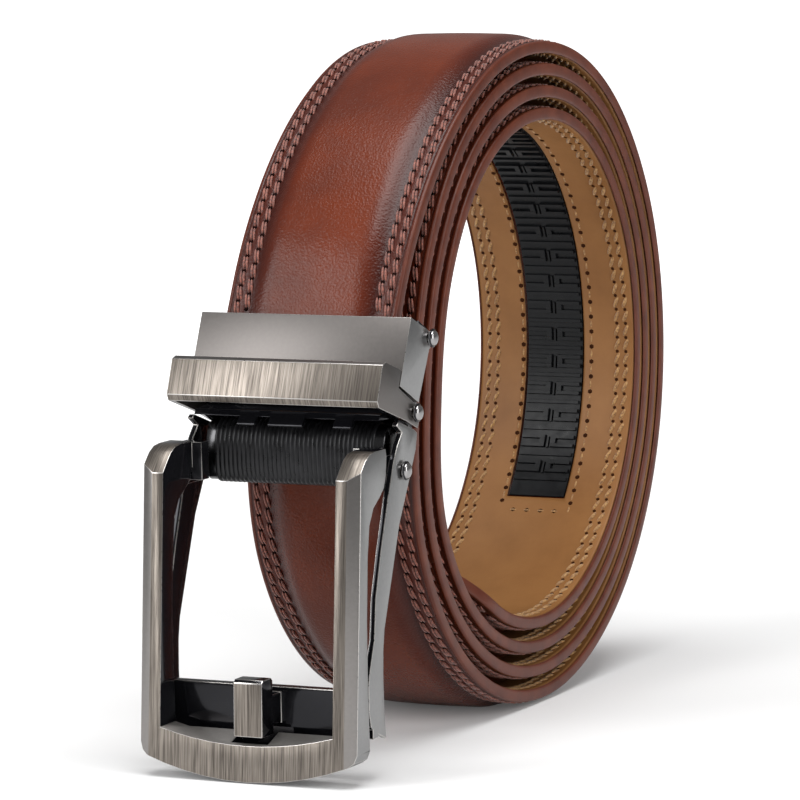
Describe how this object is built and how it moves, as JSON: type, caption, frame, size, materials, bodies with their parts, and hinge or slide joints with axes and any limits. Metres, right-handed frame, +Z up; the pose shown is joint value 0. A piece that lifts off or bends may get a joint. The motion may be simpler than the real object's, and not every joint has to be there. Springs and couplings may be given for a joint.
{
  "type": "ratchet belt",
  "caption": "Leather ratchet belt coiled on edge, with a padded stitched strap, a toothed track on its lining, and an open frame buckle with a prong, a ribbed bar and a keeper loop",
  "frame": {"origin": "on the surface, under the middle of the coil", "axes": "X runs across the strap and along the buckle's pins, -Y is the side where the buckle hangs, +Z is up"},
  "size_m": [0.046, 0.1579, 0.1302],
  "materials": {
    "strap_leather": "semi-gloss, smooth, stitched",
    "lining_leather": "matte",
    "track_plastic": "matte",
    "brushed_grey": "brushed warm grey",
    "pin_steel": "polished",
    "black_metal": "gloss black"
  },
  "bodies": {
    "belt": {"strap": "strap_leather", "lining": "lining_leather", "ratchet_track": "track_plastic", "clamp_cover": "brushed_grey", "keeper_loop": "brushed_grey", "frame_pin": "pin_steel", "loop_pin": "pin_steel", "clamp_pin": "pin_steel", "base_plate": "black_metal", "ribbed_bar": "black_metal", "back_frame": "black_metal"},
    "frame": {"front_frame": "brushed_grey"},
    "pawl": {"pawl_plate": "black_metal"}
  },
  "joints": [
    {"name": "frame_hinge", "type": "hinge", "parent": "belt", "child": "frame", "pos_m": [0, -0.0705, 0.0546], "axis": [-1, 0, 0], "range_deg": [0, 15]},
    {"name": "pawl_hinge", "type": "hinge", "parent": "belt", "child": "pawl", "pos_m": [0, -0.0652, 0.0645], "axis": [-1, 0, 0], "range_deg": [0, 5], "stiffness_Nm_per_rad": 0.01, "springref_deg": -1.72}
  ]
}
